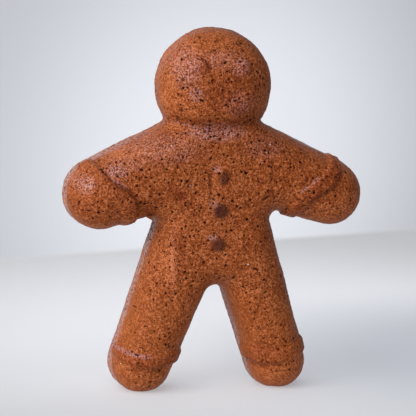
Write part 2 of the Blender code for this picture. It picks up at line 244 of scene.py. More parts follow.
# Sugar grains that stuck to the crust: x and z in the front view, and their size
SUGAR_GRAINS = ((-18.2, 86.8, 0.36), (9.5, 45.4, 0.34), (-33.7, 10.6, 0.22), (16.7, 86.8, 0.24),
                (-11.7, 73.2, 0.2))
SUGAR_SINK = 0.25
SUGAR_SQUASH = (0.8, 0.7)
SUGAR_CLOUD = 0.3
SUGAR_SHADE = 0.85
SUGAR_ROUGHNESS = 0.25
SUGAR_START = 0.05

# The view of the camera: angles, place in metres, lens and sensor in millimetres
VIEW_TURN = math.radians(14.0)
VIEW_TILT = math.radians(8.98)
VIEW_ROLL = math.radians(1.31)
VIEW_DISTANCE = 0.7997
VIEW_TARGET = Vector((-0.00502, -0.00783, 0.06522))
VIEW_LENS = 202.07
SENSOR = 36.0
CLIP = (0.01, 20.0)

# The stage: where the backdrop meets the floor, and how far it reaches
BACKDROP_FOOT = Vector((-0.0363, 0.2509, 0.0))
BACKDROP_TURN = math.radians(14.86)
COVE_RADIUS = 0.003
COVE_STEPS = 10
FLOOR_REACH = 2.2
BACKDROP_HEIGHT = 1.4
STAGE_HALF_WIDTH = 2.4

# How porous the crust is: at the front's edge and from where it grows, on the wall and on the legs
POROUS_EDGE = 0.65
POROUS_FROM = 0.5
POROUS_REACH = 5.5
POROUS_WALL = 0.5
LEG_CLOSED = 0.32
LEG_TOP = 42.0
LEG_FADE = 14.0

# The side wall's strip of dust and painted sheen, which fades on the head
SIDE_EDGE = 1.5
HEAD_SIDE_FROM = 86.0
HEAD_SIDE_REACH = 6.0
HEAD_SIDE_FADE = 0.7

# Pores: radii and share of the cells that hold one, as parts of the spacing, and soft rims. Spacing
# and shifts are in millimetres.
PORES = {"Least": 0.13, "Most": 0.42, "Share": 0.9}
PORE_SOFTNESS = 0.45
HOLLOW_SOFTNESS = 0.9
FINE_PORES = {"Spacing": 1.0, "Least": 0.14, "Most": 0.42, "Share": 0.9, "Softness": 0.5}
FINE_PORE_SHIFT = (31.0, 17.0, 5.0)
SPECKS = {"Spacing": 0.9, "Least": 0.12, "Most": 0.42, "Share": 0.6, "Softness": 0.6}
SPECK_SHIFT = (7.0, 53.0, 29.0)
WARP_SIZE = 1.1
WARP_REACH = 0.75
SEED_SHIFT = (13.0, 7.0, 3.0)

# Noise: size in millimetres where it isn't a setting, detail and roughness. The four layers of the
# colour, from slow to fleck, also have a strength.
HALF = 0.5
NOISE_SPAN = 4.0
SWELL_NOISE = (2.0, 0.45)
GRAIN_NOISE = (1.0, 0.5)
COLOUR_NOISE = ((12.0, 2.0, 0.5, 1.0), (3.4, 2.0, 0.5, 0.9), (0.95, 1.5, 0.6, 3.1), (0.52, 1.0, 0.5, 3.9))
DUST_AND_SHEEN_NOISE = (0.85, 1.5)
TORN_NOISE = (0.8, 1.5)
# How far the painted light lifts the tone
PAINTED_LIGHT_GAIN = 0.42
DARK_GAIN = 0.62
SPECK_STRENGTH = 0.75
STAIN_AND_SHADE_TINT = (0.68, 0.52, 0.54)

# Ranges of masks and of noise: from low and high to low and high
GRAIN_BY_POROUS = (0.2, 0.8, 0.3, 1.0)
FINE_BY_POROUS = (0.1, 0.9, 0.1, 0.78)
PORE_BY_POROUS = (0.1, 0.9, 0.2, 1.0)
CREASE_BY_GRAIN = (0.3, 0.6, 1.0, 0.7)
BURNT_BY_GRAIN = (0.3, 0.6, 0.75, 1.0)
SHINE_BY_FLECK = (0.45, 0.60)
DUST_AND_SHEEN_RANGE = (0.42, 0.58, 0.12, 0.95)
TORN_RANGE = (0.46, 0.56)

# Roughness by the grain, and of the places that differ, coat on the shine, and heights of the bump
GRAIN_ROUGHNESS = (0.5, 0.24)
GLAZE_SMOOTHING = 0.16
PIT_ROUGHNESS = 0.9
PORE_ROUGHNESS = 0.75
SHINE_COAT = 0.6
GRAIN_BUMP = 0.30
FLECK_BUMP = 0.14
PORE_BUMP = 0.20
FINE_PORE_BUMP = 0.16
CRUST_FINISH = {"IOR": 1.46, "Specular IOR Level": 0.08, "Sheen Weight": 0.035, "Sheen Roughness": 0.3,
                "Sheen Tint": (0.86, 0.84, 1.0, 1.0), "Coat Roughness": 0.25, "Coat IOR": 1.5}

# Tints of the stage, painted pools of light and shade. A glow or shade is its middle, how far it is whole,
# and where it has faded.
WALL_FROM = 0.003
WALL_EDGE = (0.89, 0.905, 0.945)
WALL_MIDDLE = (1.41, 1.43, 1.47)
WALL_GLOW = ((0.080, 0.265, 0.040), 0.03, 0.150)
FLOOR_GLOW = ((0.055, 0.095, 0.0), 0.05, 0.23)
FLOOR_EDGE = (0.87, 0.87, 0.87)
FLOOR_MIDDLE = (1.29, 1.29, 1.32)
FLOOR_SHADE = ((0.140, 0.025, 0.0), 0.055, 0.155)
FLOOR_PAINTED_SHADE_TINT = (0.88, 0.90, 0.95)
# Share of the paper's colour that light falls on, and its painted glow and finish
STAGE_MATT = 0.60
STAGE_FINISH = {"Emission Strength": 0.42, "Roughness": 0.8, "Specular IOR Level": 0.2}

# Soft lights: place, width, height and colour. Each has its power in the studio's settings.
LIGHT_TARGET = (0.0, 0.0, 0.06)
LIGHTS = {
    "key": ((-0.75, -0.85, 0.70), 1.5, 1.5, (1.0, 0.985, 0.96)),
    "side": ((-1.15, -0.30, 0.30), 1.6, 1.4, (1.0, 0.985, 0.97)),
    "top": ((-0.30, 0.20, 1.1), 1.6, 1.0, (0.96, 0.98, 1.0)),
    "glint": ((0.05, -0.50, 0.95), 0.35, 0.16, (0.80, 0.82, 1.0)),
}


def metres(name, description, default, least=0.0):
    """A size in metres that a user can change."""
    return FloatProperty(name=name, description=description, default=default, min=least, unit="LENGTH")


def watts(name, description, default):
    """A light's power in watts that a user can change."""
    return FloatProperty(name=name, description=description, default=default, min=0.0, unit="POWER")


def tint(name, description, default):
    """A colour in linear light that a user can change."""
    return FloatVectorProperty(name=name, description=description, default=default, size=3,
                               subtype="COLOR", min=0.0, max=1.0)


class GingerbreadForm(PropertyGroup):
    """Sizes of the biscuit's form and of its relief."""

    wall_depth: metres("Wall depth", "How far the wall reaches from the back to the crown", 0.0052, 0.002)
    body_crown: metres("Body crown", "Rise of the rounded edge of the body", 0.0120, 0.001)
    head_crown: metres("Head crown", "Rise of the head's dome", 0.0136, 0.001)
    cuff_height: metres("Cuff height", "How far the cuffs stand off the arms", 0.0010)
    ankle_height: metres("Ankle band height", "How far the ankle bands stand off the legs", 0.0009)
    button_height: metres("Button height", "How far the buttons stand off the chest", 0.0007)
    facet: metres("Facet", "Spacing of the crust's points on the front and the wall", 0.00046, 0.0003)
    back_facet: metres("Back facet", "Spacing of the crust's points on the back", 0.0012, 0.0005)


class GingerbreadCrumb(PropertyGroup):
    """Unevenness, pores and pits of the crumb."""

    unevenness: metres("Unevenness", "How far the crust swells and sinks", 0.00022)
    unevenness_size: metres("Unevenness size", "Width of the swellings", 0.0085, 0.001)
    grain_height: metres("Grain height", "Height of the crumb's grain", 0.00009)
    grain_size: metres("Grain size", "Width of the crumb's grain", 0.0013, 0.0003)
    pore_cell: metres("Pore spacing", "Mean distance between the pores", 0.0016, 0.0005)
    pore_depth: metres("Pore depth", "Depth of the pores", 0.00026)
    pit_count: IntProperty(
        name="Pits", description="How many tries are made to place a pit at random", default=900, min=0)
    pit_least: metres("Smallest pit", "Radius of the smallest pits", 0.00021, 0.0001)
    pit_most: metres("Largest pit", "Radius of the largest pits", 0.00056, 0.0001)
    seed: IntProperty(
        name="Seed", description="Seed of the pits and of the crumb's pattern", default=7)


class GingerbreadColours(PropertyGroup):
    """Colours of the baked crust, in linear light."""

    dark: tint("Dark crumb", "Colour of the crumb's dark flecks", (0.096, 0.0155, 0.003))
    mid: tint("Crumb", "Mean colour of the crumb", (0.275, 0.064, 0.0145))
    light: tint("Light crumb", "Colour of the crumb's light flecks", (0.525, 0.166, 0.061))
    edge: tint("Smooth edge", "Colour where the crust is closed and smooth", (0.330, 0.087, 0.019))
    # The pores' and pits' dark colours are painted shade in their hollows
    pore: tint("Pores", "Colour inside the pores", (0.044, 0.006, 0.0015))
    pit: tint("Pits", "Colour at the bottom of the pits", (0.010, 0.003, 0.002))
    button: tint("Burnt buttons", "Colour of the burnt spots on the buttons", (0.062, 0.0150, 0.0105))
    # The glint colour is a painted highlight: lilac flecks that stand for reflected light
    gloss_and_painted_glint: tint("Glaze", "Colour of the flecks where the crust is glazed", (0.43, 0.215, 0.205))
    # The side wall's lilac-grey patches are dust and a painted sheen
    side: tint("Side wall", "Colour of the dusty patches on the side wall", (0.400, 0.290, 0.285))
    sugar: tint("Sugar", "Colour of the sugar grains", (0.86, 0.84, 0.80))


class GingerbreadStudio(PropertyGroup):
    """Light and colours of the stage."""

    key_power: watts("Key light", "Power of the large soft light in front at the upper left", 13.2)
    side_power: watts("Side light", "Power of the large soft light at the left", 16.8)
    glint_power: watts("Glint light", "Power of the small cool light high in front", 0.8)
    top_power: watts("Top light", "Power of the soft light above the biscuit", 6.0)
    surroundings: tint("Surroundings", "Colour of the light from all round", (0.85, 0.90, 1.0))
    surroundings_strength: FloatProperty(
        name="Surroundings strength", description="Strength of the light from all round",
        default=0.12, min=0.0)
    floor: tint("Stage", "Colour of the floor and the backdrop", (0.675, 0.682, 0.695))


def beside(circle, angle, fillet):
    """A hollow corner that touches a circle from outside at an angle."""
    x, z, radius = circle
    reach = radius + fillet
    return (x + reach * math.cos(angle), z + reach * math.sin(angle), -fillet)


RIGHT_NECK = beside(HEAD, RIGHT_NECK_ANGLE, RIGHT_NECK_FILLET)
LEFT_NECK = beside(HEAD, LEFT_NECK_ANGLE, LEFT_NECK_FILLET)
WHOLE_OUTLINE = (CROTCH, RIGHT_FOOT, RIGHT_ARMPIT, RIGHT_HAND, RIGHT_NECK,
                 HEAD, LEFT_NECK, LEFT_HAND, LEFT_ARMPIT, LEFT_FOOT)
BODY_OUTLINE = (CROTCH, RIGHT_FOOT, RIGHT_ARMPIT, RIGHT_HAND,
                COLLAR, LEFT_HAND, LEFT_ARMPIT, LEFT_FOOT)


def outward(angles):
    """Unit vector to the right of each course angle, which is out of the biscuit."""
    return np.stack((np.sin(angles), -np.cos(angles)), axis=-1)


def corners_and_sides(circles):
    """The outline as corners and sides, taken in turn counter-clockwise.

    A corner is its circle, the angle of its course where it starts and the angle it turns
    through. A side is its start, its unit direction and its length.
    """
    ways = []
    for (x1, z1, r1), (x2, z2, r2) in zip(circles, circles[1:] + circles[:1]):
        way = np.array((x2 - x1, z2 - z1))
        across = np.array((-way[1], way[0]))
        span = way @ way
        rise = r2 - r1
        length = math.sqrt(max(span - rise * rise, 0.0))
        ways.append(((length * way - rise * across) / span, length))
    corners = []
    sides = []
    for i, circle in enumerate(circles):
        before = ways[i - 1][0]
        after, length = ways[i]
        start = math.atan2(before[1], before[0])
        turn = (math.atan2(after[1], after[0]) - start) % math.tau
        if circle[2] < 0:
            turn -= math.tau
        corners.append((circle, start, turn))
        sides.append((np.array(circle[:2]) + circle[2] * outward(start + turn), after, length))
    return corners, sides


def outline(circles, inset, spacing):
    """The closed outline moved in by inset. Every inset gives the same number of points."""
    corners, sides = corners_and_sides(circles)
    rounds = []
    for circle, start, turn in corners:
        steps = max(CORNER_STEPS, round(abs(turn * circle[2]) / spacing))
        angles = start + turn * np.arange(steps + 1) / steps
        rounds.append(np.array(circle[:2]) + (circle[2] - inset) * outward(angles))
    points = []
    for i, corner in enumerate(rounds):
        following = rounds[(i + 1) % len(rounds)]
        length = sides[i][2]
        if length < TINY:
            points.append(corner[:-1])
            continue
        points.append(corner)
        steps = max(1, round(length / spacing))
        share = np.arange(1, steps)[:, None] / steps
        points.append(corner[-1] + share * (following[0] - corner[-1]))
    return np.concatenate(points)


def distances_inside(points, circles):
    """Exact distance inside the outline, and a soft one that has no ridge along its middle."""
    corners, sides = corners_and_sides(circles)
    nearest = np.full(len(points), np.inf)
    signed = np.zeros(len(points))
    pull = np.zeros(len(points))

    def take(distance, valid):
        size = np.abs(distance)
        nearer = valid & (size < nearest)
        nearest[nearer] = size[nearer]
        signed[nearer] = distance[nearer]
        pull[valid] += np.exp(-np.maximum(distance[valid], 0.0) / SOFT_RIDGE)

    for (x, z, radius), start, turn in corners:
        offset = points - np.array((x, z))
        facing = math.copysign(1.0, radius)
        course = np.arctan2(offset[:, 1], offset[:, 0]) + facing * math.pi / 2.0
        swept = (math.copysign(1.0, turn) * (course - start)) % math.tau
        take(radius - facing * np.linalg.norm(offset, axis=1), swept <= abs(turn))
    for start, way, length in sides:
        offset = points - start
        along = offset @ way
        take(way[0] * offset[:, 1] - way[1] * offset[:, 0], (along >= 0.0) & (along <= length))
    soft = -SOFT_RIDGE * np.log(np.maximum(pull, TINY))
    return signed, soft


def smooth_step(value):
    """Eases from 0 to 1 as value goes from 0 to 1."""
    value = np.clip(value, 0.0, 1.0)
    return value * value * (3.0 - 2.0 * value)


def crown(distance, reach, height, power):
    """Height of a rounded edge at a distance in from its foot."""
    share = np.clip(distance / reach, 0.0, 1.0)
    return height * (1.0 - (1.0 - share) ** power) ** (1.0 / power)


def smooth_path(knots):
    """A smooth path through points."""
    knots = np.array(knots)
    knots = np.vstack((2.0 * knots[0] - knots[1], knots, 2.0 * knots[-1] - knots[-2]))
    t = np.arange(PATH_STEPS)[:, None] / PATH_STEPS
    runs = []
    for before, start, end, after in zip(knots, knots[1:], knots[2:], knots[3:]):
        bend = 2.0 * before - 5.0 * start + 4.0 * end - after
        twist = 3.0 * start - before - 3.0 * end + after
        runs.append(start + 0.5 * t * (end - before + t * (bend + t * twist)))
    return np.concatenate(runs + [knots[-2:-1]])


def distance_to_path(points, knots):
    """Distance of each point from a smooth path, its side, and how far along it is, from 0 to 1."""
    path = smooth_path(knots)
    in_reach = (points > path.min(axis=0) - PATH_REACH) & (points < path.max(axis=0) + PATH_REACH)
    near = np.flatnonzero(in_reach.all(axis=1))
    distance = np.full(len(points), PATH_REACH)
    side = np.ones(len(points))
    along = np.zeros(len(points))
    starts = path[:-1]
    runs = path[1:] - starts
    offset = points[near, None, :] - starts[None, :, :]
    share = np.clip((offset * runs).sum(2) / (runs * runs).sum(1), 0.0, 1.0)
    gap = offset - share[:, :, None] * runs
    lengths = np.sqrt((gap * gap).sum(2))
    nearest = lengths.argmin(axis=1)
    rows = np.arange(len(near))
    distance[near] = lengths[rows, nearest]
    run = runs[nearest]
    off = offset[rows, nearest]
    side[near] = np.sign(run[:, 0] * off[:, 1] - run[:, 1] * off[:, 0])
    along[near] = (nearest + share[rows, nearest]) / len(starts)
    return distance, side, along


def raised_band(points, band, height):
    """Relief of a raised band."""
    knots, half_width, sharp_edge, soft_edge = band
    distance, side, _ = distance_to_path(points, knots)
    edge = np.where(side > 0.0, sharp_edge, soft_edge)
    return height * smooth_step((half_width + 0.5 * edge - distance) / edge)


def along_line(points, knots, half_width, edge):
    """How much each point belongs to a thin line, which runs out at its two ends."""
    distance, _, along = distance_to_path(points, knots)
    ends = smooth_step(LINE_END * np.minimum(along, 1.0 - along))
    return smooth_step((half_width + edge - distance) / edge) * ends


def in_spots(points, spots, edge):
    """How much each point belongs to soft-edged oval spots."""
    most = np.zeros(len(points))
    for x, z, across, upright, strength in spots:
        share = np.hypot((points[:, 0] - x) / across, (points[:, 1] - z) / upright)
        most = np.maximum(most, strength * smooth_step((1.0 + edge - share) / (2.0 * edge)))
    return most


def on_lines(points, lines):
    """The most that each point belongs to one of some thin lines, by the lines' strength."""
    return np.max([strength * along_line(points, *line) for *line, strength in lines], axis=0)


def round_bump(points, middle, radius, edge):
    """A flat round bump of height 1."""
    distance = np.linalg.norm(points - np.array(middle), axis=1)
    return smooth_step((radius - distance) / edge)


def low_relief(points, form):
    """All low relief of the front, at points of the front view."""
    cuff = form.cuff_height / MM
    ankle = form.ankle_height / MM
    button = form.button_height / MM
    bands = ((RIGHT_CUFF, cuff), (LEFT_CUFF, cuff), (RIGHT_ANKLE, ankle), (LEFT_ANKLE, ankle),
             (MOUTH, MOUTH_HEIGHT), (JACKET_FOLD, JACKET_FOLD_HEIGHT))
    heights = [raised_band(points, band, height) for band, height in bands]
    heights += [button * round_bump(points, middle, BUTTON_RADIUS, BUTTON_EDGE) for middle in BUTTONS]
    heights += [EYE_HEIGHT * round_bump(points, middle, EYE_RADIUS, EYE_EDGE) for middle in EYES]
    return np.max(heights, axis=0) - on_lines(points, [(*line, depth) for *line, depth, _ in CREASES])


def front_depth(points, form):
    """How far the front stands off the back, without its relief."""
    wall = form.wall_depth / MM
    lean = wall * math.tan(WALL_DRAFT)
    edge, edge_soft = distances_inside(points, WHOLE_OUTLINE)
    body, body_soft = distances_inside(points, BODY_OUTLINE)
    from_middle = np.linalg.norm(points - np.array(HEAD[:2]), axis=1)
    head = np.minimum(edge - lean, HEAD[2] - lean - from_middle)
    body = np.minimum(edge, body) - lean
    swell = np.maximum(np.minimum(edge_soft, body_soft) - lean, 0.0)
    body_rise = crown(body, BODY_CROWN_REACH, form.body_crown / MM, BODY_CROWN_POWER)
    body_rise += BODY_SWELL * (1.0 - np.exp(-swell / BODY_SWELL_REACH))
    head_rise = crown(head, HEAD_CROWN_REACH, form.head_crown / MM, HEAD_CROWN_POWER)
    fillet = CHIN_FILLET * smooth_step((edge - lean) / CHIN_FILLET_FADE) + TINY
    overlap = np.maximum(fillet - np.abs(body_rise - head_rise), 0.0)
    return wall + np.maximum(body_rise, head_rise) + overlap * overlap / (4.0 * fillet)


def wall_and_crown_rings(form):
    """Rings from the back's rim over the wall to the steep part of the crown."""
    spacing = form.facet / MM
    wall = form.wall_depth / MM
    lean = math.tan(WALL_DRAFT)
    profile = []
    rim_steps = math.ceil(BACK_RIM * math.pi / 2.0 / spacing)
    for step in range(rim_steps):
        angle = math.pi / 2.0 * step / rim_steps
        depth = BACK_RIM * (1.0 - math.cos(angle))
        profile.append((BACK_RIM * (1.0 - math.sin(angle)) + depth * lean, depth))
    wall_steps = math.ceil((wall - BACK_RIM) / spacing)
    for depth in np.linspace(BACK_RIM, wall, wall_steps + 1):
        profile.append((depth * lean, depth))
    rings = []
    for inset, depth in profile:
        points = outline(WHOLE_OUTLINE, inset, spacing)
        rings.append((points, np.full(len(points), depth)))
    crown_steps = math.ceil(STEEP_CROWN * form.body_crown / MM / spacing)
    for angle in np.linspace(0.0, STEEP_CROWN, crown_steps + 1)[1:]:
        share = 1.0 - math.cos(angle) ** (2.0 / BODY_CROWN_POWER)
        points = outline(WHOLE_OUTLINE, wall * lean + BODY_CROWN_REACH * share, spacing)
        rings.append((points, front_depth(points, form)))
    return rings


def lattice(spacing, ring):
    """Points of a triangular lattice that covers a ring's box."""
    low = ring.min(axis=0)
    high = ring.max(axis=0)
    row_height = spacing * math.sqrt(0.75)
    rows = []
    for row in range(math.ceil((high[1] - low[1]) / row_height) + 1):
        shift = 0.5 * spacing * (row % 2)
        xs = np.arange(low[0] - spacing + shift, high[0] + spacing, spacing)
        rows.append(np.stack((xs, np.full(len(xs), low[1] + row * row_height)), axis=1))
    return np.concatenate(rows)


def pit_share(points, pit):
    """How far each point lies from a pit's middle, with 1 on its rim."""
    x, z, long, wide, tilt = pit
    angle = math.radians(tilt)
    offset = points - np.array((x, z))
    along = offset[:, 0] * math.cos(angle) + offset[:, 1] * math.sin(angle)
    across = offset[:, 1] * math.cos(angle) - offset[:, 0] * math.sin(angle)
    return np.hypot(along / long, across / wide)


def pit_points(pit):
    """The middle of a pit, a ring half way out and its rim."""
    x, z, long, wide, tilt = pit
    angle = math.radians(tilt)
    points = [np.array(((x, z),))]
    for share in (PIT_INNER_RING, 1.0):
        steps = max(PIT_STEPS, math.ceil(math.pi * (long + wide) * share / PIT_POINT_SPACING))
        turns = math.tau * (np.arange(steps) + 0.5 * (share < 1.0)) / steps
        along = long * share * np.cos(turns)
        across = wide * share * np.sin(turns)
        ring_x = x + along * math.cos(angle) - across * math.sin(angle)
        ring_z = z + along * math.sin(angle) + across * math.cos(angle)
        points.append(np.stack((ring_x, ring_z), axis=1))
    return np.concatenate(points)


def scatter_pits(crumb, form):
    """The pits that stand out, and others thrown at random on what is left of the front."""
    draw = np.random.default_rng(crumb.seed)
    least = crumb.pit_least / MM
    most = crumb.pit_most / MM
    lean = form.wall_depth / MM * math.tan(WALL_DRAFT)
    ring = outline(WHOLE_OUTLINE, 0.0, 1.0)
    throws = draw.uniform(ring.min(axis=0), ring.max(axis=0), (crumb.pit_count, 2))
    sizes = draw.random(crumb.pit_count) ** PIT_RARITY
    stretches = 1.0 + PIT_STRETCH * draw.random(crumb.pit_count) ** 2
    tilts = draw.normal(0.0, PIT_TILT_SPREAD, crumb.pit_count)
    chances = draw.random(crumb.pit_count)
    depth_in = distances_inside(throws, WHOLE_OUTLINE)[0] - lean
    pits = list(NOTABLE_PITS)
    for place, size, stretch, tilt, chance, edge in zip(throws, sizes, stretches, tilts, chances, depth_in):
        wide = least + (most - least) * size
        likely = PIT_EDGE_CHANCE + (1.0 - PIT_EDGE_CHANCE) * min(edge / PIT_CHANCE_REACH, 1.0)
        if edge < PIT_EDGE_CLEARANCE or chance > likely:
            continue
        reach = [math.hypot(place[0] - pit[0], place[1] - pit[1]) - pit[2] for pit in pits]
        if min(reach) > PIT_GAP + wide:
            pits.append((place[0], place[1], wide * stretch, wide, tilt))
    return pits


def front_fill(ring, pits, spacing):
    """Lattice points inside the last ring, parted round the pits, and the pits' own points."""
    points = lattice(spacing, ring)
    inset = distances_inside(ring[:1], WHOLE_OUTLINE)[0][0]
    points = points[distances_inside(points, WHOLE_OUTLINE)[0] > inset + 0.5 * spacing]
    own = []
    for pit in pits:
        points = points[pit_share(points, pit) > PIT_MARGIN]
        own.append(pit_points(pit))
    return np.concatenate(own + [points])


def triangles_inside(ring, fill):
    """Triangles over a ring and the points in it, counter-clockwise, as indices into ring + fill."""
    points = np.concatenate((ring, fill))
    count = len(ring)
    edges = [(i, (i + 1) % count) for i in range(count)]
    result = delaunay_2d_cdt([tuple(point) for point in points], edges, [], 1, TINY)
    origin = np.array([sources[0] for sources in result[3]])
    faces = origin[np.array([list(face) for face in result[2]])]
    corner = points[faces]
    first = corner[:, 1] - corner[:, 0]
    second = corner[:, 2] - corner[:, 0]
    turned = first[:, 0] * second[:, 1] - first[:, 1] * second[:, 0] < 0.0
    faces[turned] = faces[turned][:, ::-1]
    return faces


def shell_arrays(form, pits):
    """Places and triangles of the closed biscuit without relief, in millimetres."""
    rings = wall_and_crown_rings(form)
    size = len(rings[0][0])
    here = np.arange(size)
    after = (here + 1) % size
    triangles = []
    for step in range(len(rings) - 1):
        rear = step * size
        fore = rear + size
        triangles.append(np.stack((rear + here, rear + after, fore + after), axis=1))
        triangles.append(np.stack((rear + here, fore + after, fore + here), axis=1))
    flat = [points for points, _ in rings]
    depths = [depth for _, depth in rings]
    count = size * len(rings)
    front_ring = rings[-1][0]
    fill = front_fill(front_ring, pits, form.facet / MM)
    index = np.concatenate((here + count - size, np.arange(len(fill)) + count))
    triangles.append(index[triangles_inside(front_ring, fill)])
    flat.append(fill)
    depths.append(front_depth(fill, form))
    count += len(fill)
    back_ring = rings[0][0]
    spacing = form.back_facet / MM
    fill = lattice(spacing, back_ring)
    from_rim = distances_inside(fill, WHOLE_OUTLINE)[0] - BACK_RIM
    fill = fill[from_rim > 0.5 * spacing]
    from_rim = from_rim[from_rim > 0.5 * spacing]
    index = np.concatenate((here, np.arange(len(fill)) + count))
    triangles.append(index[triangles_inside(back_ring, fill)][:, ::-1])
    flat.append(fill)
    depths.append(-BACK_DOME * (1.0 - np.exp(-from_rim / BACK_DOME_REACH)))
    flat = np.concatenate(flat)
    depths = np.concatenate(depths)
    places = np.stack((flat[:, 0], -depths, flat[:, 1]), axis=1)
    return places, np.concatenate(triangles)


def mesh_of(name, places, faces):
    """A mesh from arrays of places and triangles."""
    mesh = bpy.data.meshes.new(name)
    mesh.vertices.add(len(places))
    mesh.vertices.foreach_set("co", np.asarray(places, np.float32).ravel())
    mesh.loops.add(faces.size)
    mesh.loops.foreach_set("vertex_index", np.asarray(faces, np.int32).ravel())
    mesh.polygons.add(len(faces))
    mesh.polygons.foreach_set("loop_start", np.arange(0, faces.size, 3, dtype=np.int32))
    mesh.update(calc_edges=True)
    mesh.validate()
    return mesh


def normals_of(mesh):
    """The normals of a mesh's points."""
    normals = np.zeros(3 * len(mesh.vertices), np.float32)
    mesh.vertex_normals.foreach_get("vector", normals)
    return normals.reshape(-1, 3).astype(float)


def store_number(mesh, name, values):
    """Keeps one number for each point of a mesh, under a name that the crust's nodes read."""
    attribute = mesh.attributes.new(name, "FLOAT", "POINT")
    attribute.data.foreach_set("value", np.asarray(values, np.float32))


def pit_depths(points, pits):
    """Depth of the pits and the painted shade at their bottoms, at points of the front view."""
    depth = np.zeros(len(points))
    dark = np.zeros(len(points))
    for pit in pits:
        share = pit_share(points, pit)
        near = np.flatnonzero(share < 1.0 - TINY)
        sunk = 1.0 - smooth_step((share[near] - PIT_FLAT) / (1.0 - PIT_FLAT))
        depth[near] = np.maximum(depth[near], PIT_DEPTH_SHARE * pit[3] * sunk)
        dark[near] = np.maximum(dark[near], sunk)
    return depth, dark


def gloss_and_painted_glint(points):
    """How glossy the crust is, and how much painted glint it has."""
    return np.maximum(in_spots(points, GLOSS_AND_PAINTED_GLINT_SPOTS, SPOT_EDGE), on_lines(points, GLOSS_AND_PAINTED_GLINT_LINES))


def crease_shade(points):
    """How much shade is painted into the creases."""
    return on_lines(points, [(*line, dark) for *line, _, dark in CREASES])


def redness_and_painted_shade(points):
    """How much redder the baked surface is, with painted shade beside the jacket fold."""
    bands = [(path, half - STAIN_INSET, STAIN_EDGE, strength)
             for (path, half, *_), strength in STAINED_BANDS]
    return np.maximum(in_spots(points, STAIN_AND_PAINTED_SHADE_SPOTS, SPOT_EDGE), on_lines(points, bands))


def shaped_crust(form, crumb):
    """The crust's mesh with its relief, its pits and the numbers that its nodes read."""
    pits = scatter_pits(crumb, form)
    places, faces = shell_arrays(form, pits)
    wall = form.wall_depth / MM
    bare = mesh_of("bare_crust", places, faces)
    normals = normals_of(bare)
    bpy.data.meshes.remove(bare)
    flat = places[:, (0, 2)]
    depth = -places[:, 1]
    fore = depth > wall
    on_front = np.clip((depth - RELIEF_FADE_FROM) / (wall - RELIEF_FADE_FROM), 0.0, 1.0)
    on_side = smooth_step((wall + SIDE_EDGE - depth) / SIDE_EDGE) * smooth_step(depth / SIDE_EDGE)
    on_head = smooth_step((flat[:, 1] - HEAD_SIDE_FROM) / HEAD_SIDE_REACH)
    # hollow is the painted shade at the bottom of each pit
    sunk, hollow = (np.where(fore, values, 0.0) for values in pit_depths(flat, pits))
    places = places + normals * (low_relief(flat, form) * on_front - sunk)[:, None]
    places[:, 2] = np.maximum(places[:, 2], 0.0)
    edge = distances_inside(flat, WHOLE_OUTLINE)[0] - wall * math.tan(WALL_DRAFT)
    porous = POROUS_EDGE + (1.0 - POROUS_EDGE) * smooth_step((edge - POROUS_FROM) / POROUS_REACH)
    porous *= 1.0 - LEG_CLOSED * smooth_step((LEG_TOP - flat[:, 1]) / LEG_FADE)
    low, high = (np.array(corner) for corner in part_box(COOKIE_NODE))
    middle = 0.5 * (places.min(axis=0) + places.max(axis=0))
    shift = 0.5 * (low + high) - middle * MM
    shift[2] = low[2]
    mesh = mesh_of("gingerbread_crust", places * MM + shift, faces)
    on_fore = {"hollow": hollow, "burnt": in_spots(flat, BUTTON_SPOTS, BUTTON_SPOT_EDGE),
               "glazed": gloss_and_painted_glint(flat), "creased": crease_shade(flat), "stained": redness_and_painted_shade(flat),
               # pale is the painted light of the lit places
               "pale": in_spots(flat, PAINTED_LIGHT_SPOTS, SPOT_EDGE)}
    for name, values in on_fore.items():
        store_number(mesh, name, np.where(fore, values, 0.0))
    store_number(mesh, "porous", np.where(fore, porous, POROUS_WALL))
    store_number(mesh, "side", on_side * (1.0 - HEAD_SIDE_FADE * on_head))
    store_number(mesh, "torn", on_side * in_spots(flat, TORN_SPOTS, SPOT_EDGE))
    mesh.shade_smooth()
    return mesh


def put_on_stage(name, mesh, material=None):
    """A new object at the origin with a mesh."""
    piece = bpy.data.objects.new(name, mesh)
    bpy.context.scene.collection.objects.link(piece)
    if material is not None:
        mesh.materials.append(material)
    return piece


def settle(piece):
    """Turns a piece with live modifiers into a plain mesh."""
    graph = bpy.context.evaluated_depsgraph_get()
    plain = bpy.data.meshes.new_from_object(
        piece.evaluated_get(graph), preserve_all_data_layers=True, depsgraph=graph)
    piece.modifiers.clear()
    rough = piece.data
    piece.data = plain
    plain.name = piece.name
    bpy.data.meshes.remove(rough)
    return piece


def opaque(colour):
    """A colour with its alpha."""
    return (*colour, 1.0)


def feed(socket, value):
    """Feeds a socket from another socket, or sets it to a value."""
    if isinstance(value, bpy.types.NodeSocket):
        socket.id_data.links.new(value, socket)
    elif value is not None:
        socket.default_value = value


def add_node(tree, kind, sockets=None, **settings):
    """A new node with its settings. Its sockets are fed by name or by number."""
    node = tree.nodes.new(kind)
    for name, value in settings.items():
        setattr(node, name, value)
    for key, value in (sockets or {}).items():
        feed(node.inputs[key], value)
    return node


def calc(tree, operation, first, second=None, third=None, clamp=False):
    """A Math node's result."""
    node = add_node(tree, "ShaderNodeMath", operation=operation, use_clamp=clamp)
    for socket, value in zip(node.inputs, (first, second, third)):
        feed(socket, value)
    return node.outputs[0]


def times(tree, first, second):
    """The product of two values."""
    return calc(tree, "MULTIPLY", first, second)


def calc_vector(tree, operation, first, second=None, scale=None):
    """A Vector Math node's result."""
    node = add_node(tree, "ShaderNodeVectorMath", {0: first, 1: second}, operation=operation)
    if scale is not None:
        feed(node.inputs["Scale"], scale)
    return node.outputs[0]


